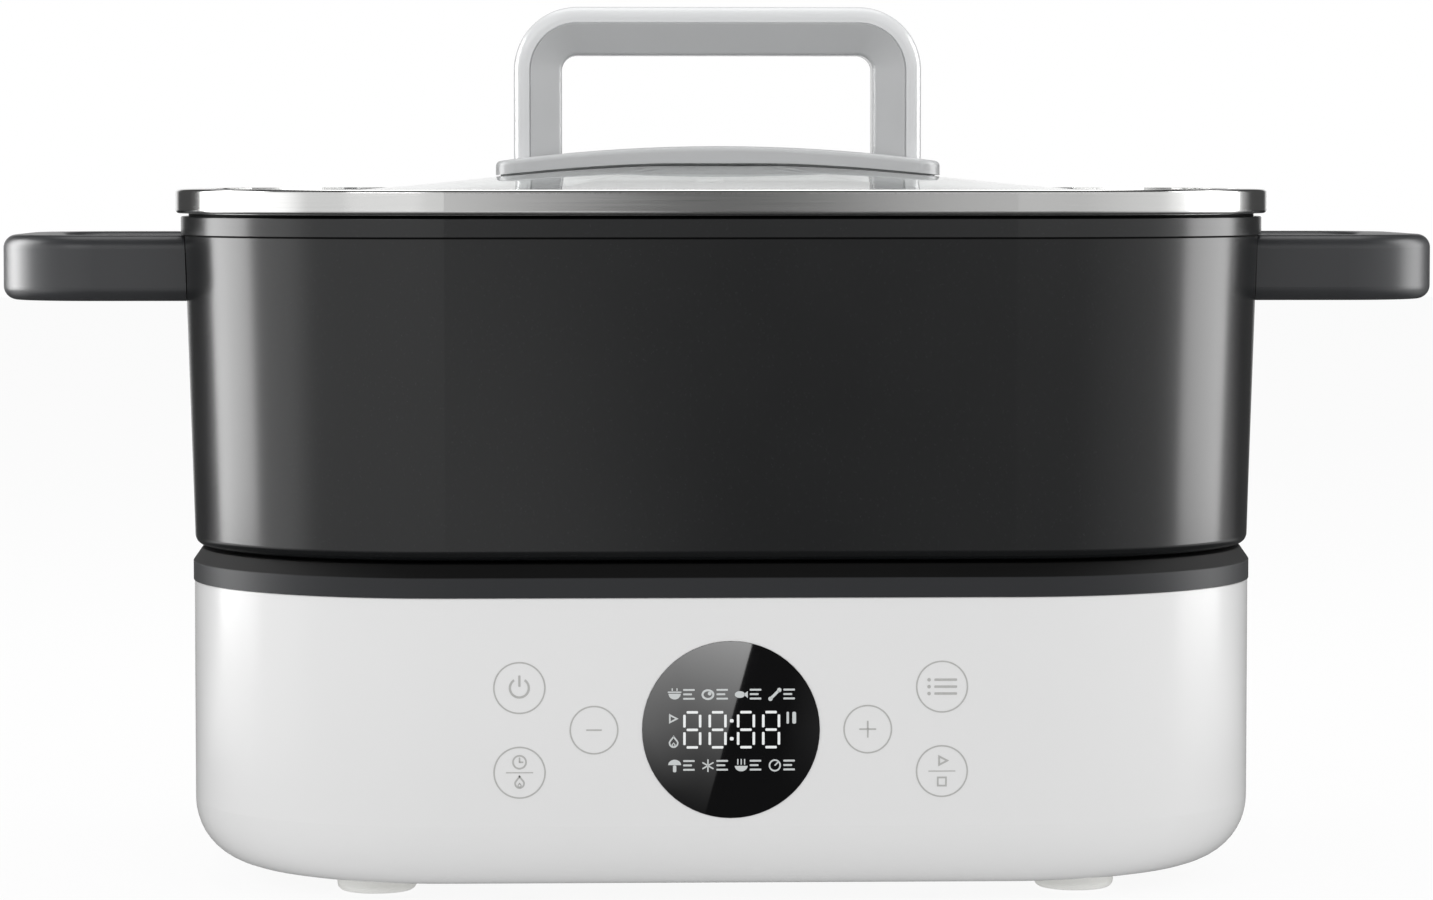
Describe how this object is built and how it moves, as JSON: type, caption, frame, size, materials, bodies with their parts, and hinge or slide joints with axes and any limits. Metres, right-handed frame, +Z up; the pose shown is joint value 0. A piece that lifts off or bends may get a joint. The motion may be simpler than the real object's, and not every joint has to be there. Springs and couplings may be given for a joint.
{
  "type": "electric hot pot",
  "caption": "Electric hot pot: a heated base with a round touch display, a lift-off rounded-rectangular pot with side loop handles, and a domed glass lid with an arch handle.",
  "frame": {"origin": "on the ground, under the middle of the object's outer box", "axes": "+X to the viewer's right along the two side handles, +Y from the display to the mains inlet, +Z up"},
  "size_m": [0.4466, 0.2664, 0.2689],
  "materials": {
    "shell_white": "gloss",
    "deck_grey": "satin",
    "cover_grey": "matte",
    "foot_rubber": "matte",
    "screw_steel": "satin",
    "cast_aluminium": "satin",
    "tube_steel": "satin",
    "shield_steel": "satin",
    "contact_brass": "satin",
    "cutout_ceramic": "matte",
    "spring_steel": "polished",
    "pot_coating": "satin",
    "handle_black": "satin",
    "rim_steel": "satin",
    "seal_silicone": "satin",
    "clear_silicone": "satin",
    "foam_grey": "matte",
    "tempered_glass": "polished",
    "handle_white": "gloss",
    "window_black": "gloss",
    "light_box_white": "matte",
    "board_green": "satin",
    "part_black": "satin",
    "part_yellow": "satin",
    "relay_blue": "satin",
    "socket_white": "matte",
    "inlet_black": "satin",
    "lead_silicone": "satin",
    "ribbon_grey": "satin"
  },
  "bodies": {
    "base": {"base_shell": "shell_white", "bottom_cover": "cover_grey", "feet": "foot_rubber", "housing_screws": "screw_steel", "deck": "deck_grey", "heating_plate": "cast_aluminium", "heating_tube": "tube_steel", "heater_terminals": "contact_brass", "heat_shield": "shield_steel", "shield_screws": "screw_steel", "earth_stud": "contact_brass", "thermal_cutout": "cutout_ceramic", "sensor_guide": "spring_steel", "sensor_spring": "spring_steel", "display_window": "window_black", "display_module": "light_box_white", "display_board": "board_green", "display_screws": "screw_steel", "touch_posts": "foam_grey", "inlet_socket": "inlet_black", "inlet_pins": "contact_brass", "inlet_screws": "screw_steel", "power_board": "board_green", "board_screws": "screw_steel", "transformer": "part_yellow", "relay": "relay_blue", "capacitors": "part_black", "buzzer": "part_black", "board_tabs": "contact_brass", "board_sockets": "socket_white", "mains_leads": "lead_silicone", "heater_leads": "lead_silicone", "sensor_lead": "ribbon_grey", "ribbon_cable": "ribbon_grey"},
    "pot": {"pot_body": "pot_coating", "handle_right": "handle_black", "handle_left": "handle_black", "handle_screws": "screw_steel"},
    "lid": {"lid_rim": "rim_steel", "rim_seal": "seal_silicone", "lid_glass": "tempered_glass", "steam_vent": "rim_steel", "handle_saddle": "handle_white", "saddle_gasket": "seal_silicone", "lid_handle": "handle_white", "lid_bushes": "clear_silicone", "lid_washers": "screw_steel", "lid_screws": "screw_steel"},
    "sensor": {"sensor_cap": "cast_aluminium", "sensor_clip": "spring_steel", "thermistor": "cutout_ceramic"}
  },
  "joints": [
    {"name": "pot_lift", "type": "slide", "parent": "base", "child": "pot", "axis": [0, 0, 1], "range_m": [0, 0.15]},
    {"name": "lid_lift", "type": "slide", "parent": "pot", "child": "lid", "axis": [0, 0, 1], "range_m": [0, 0.15]},
    {"name": "sensor_plunge", "type": "slide", "parent": "base", "child": "sensor", "axis": [0, 0, 1], "range_m": [-0.003, 0], "stiffness_N_per_m": 1000, "springref_m": 0.004, "deforming": ["sensor_spring"]}
  ]
}
